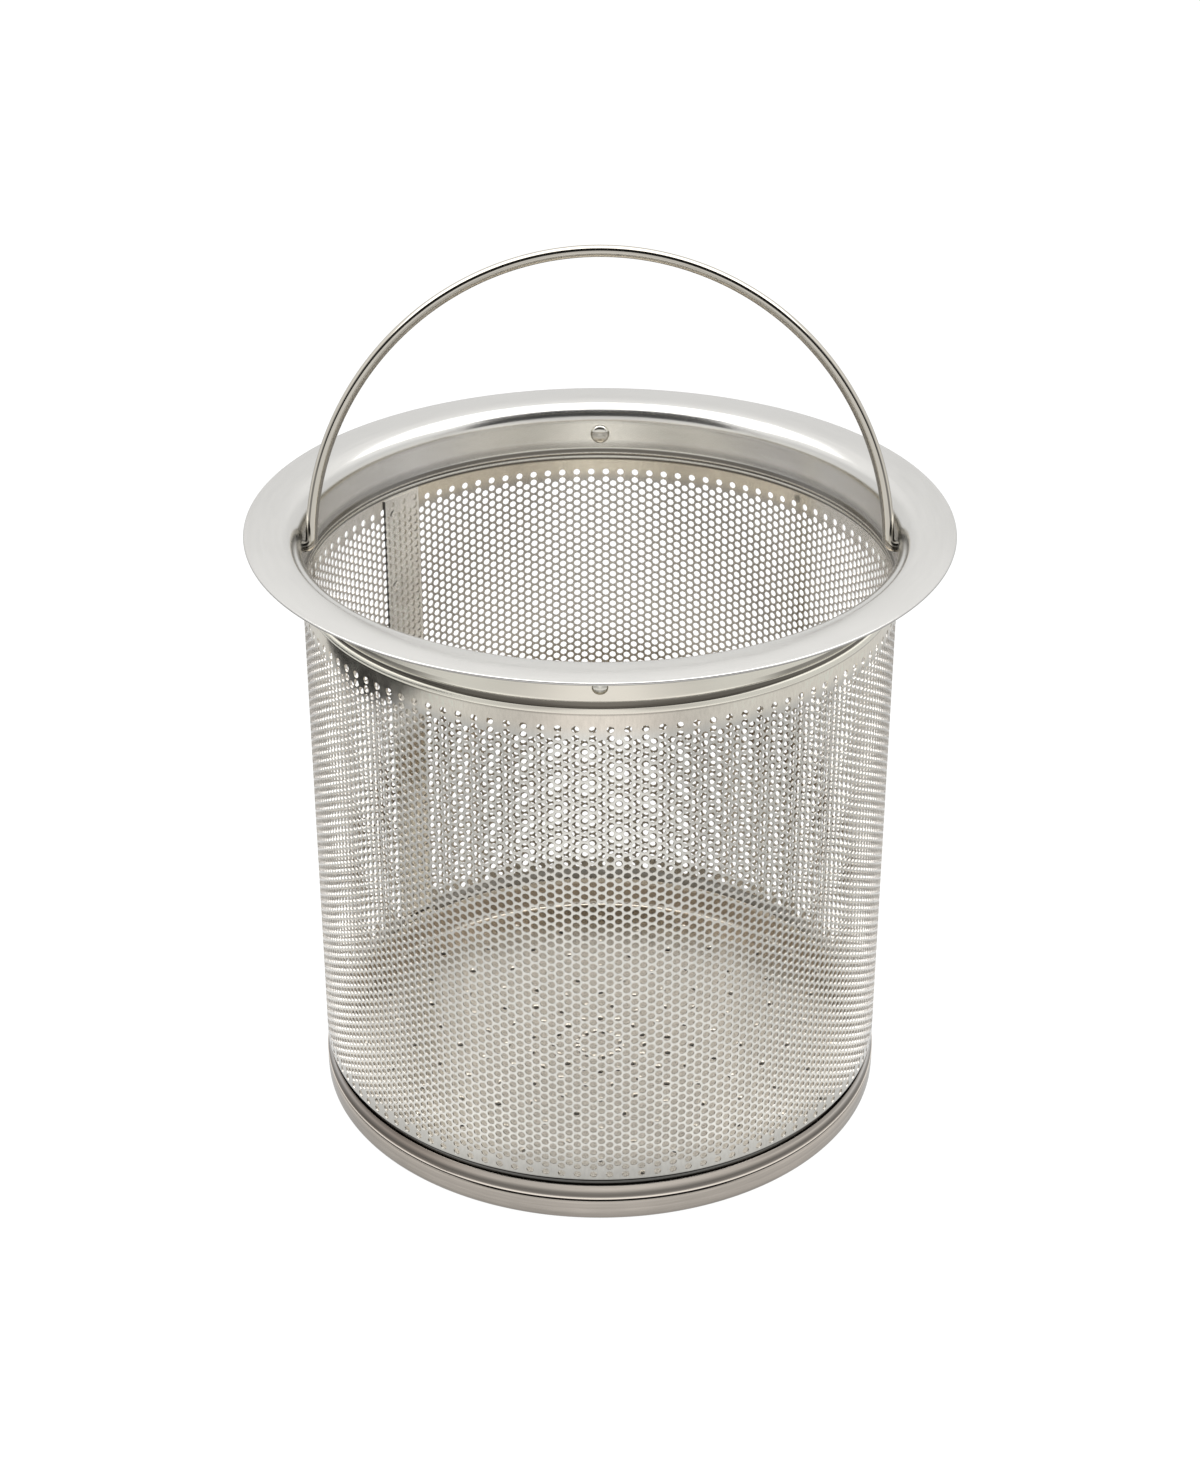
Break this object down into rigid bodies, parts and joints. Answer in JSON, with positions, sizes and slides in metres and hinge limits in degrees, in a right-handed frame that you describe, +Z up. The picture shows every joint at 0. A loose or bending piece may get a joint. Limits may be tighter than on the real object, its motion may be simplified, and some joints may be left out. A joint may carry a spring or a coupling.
{
  "type": "sink strainer",
  "caption": "Round perforated steel drain basket with a flat rim that hangs in a sink outlet, a closed ring round its foot and a swinging wire bail to lift it out.",
  "frame": {"origin": "centre of the underside of the bottom ring", "axes": "+Z up through the basket's mouth, +X along the bail's pivot, -Y towards the front of the picture"},
  "size_m": [0.145, 0.145, 0.1839],
  "materials": {
    "flange": "satin, faint brushing",
    "screen": "bright rolled sheet, punched",
    "floor": "bright rolled sheet, punched",
    "ring": "satin, brushed round",
    "wire": "polished"
  },
  "bodies": {
    "basket": {"top_flange": "flange", "side_screen": "screen", "floor_plate": "floor", "bottom_ring": "ring"},
    "handle": {"carry_handle": "wire"}
  },
  "joints": [
    {"name": "handle_swing", "type": "hinge", "parent": "basket", "child": "handle", "pos_m": [0, 0, 0.1258], "axis": [1, 0, 0], "range_deg": [-68, 104]}
  ]
}
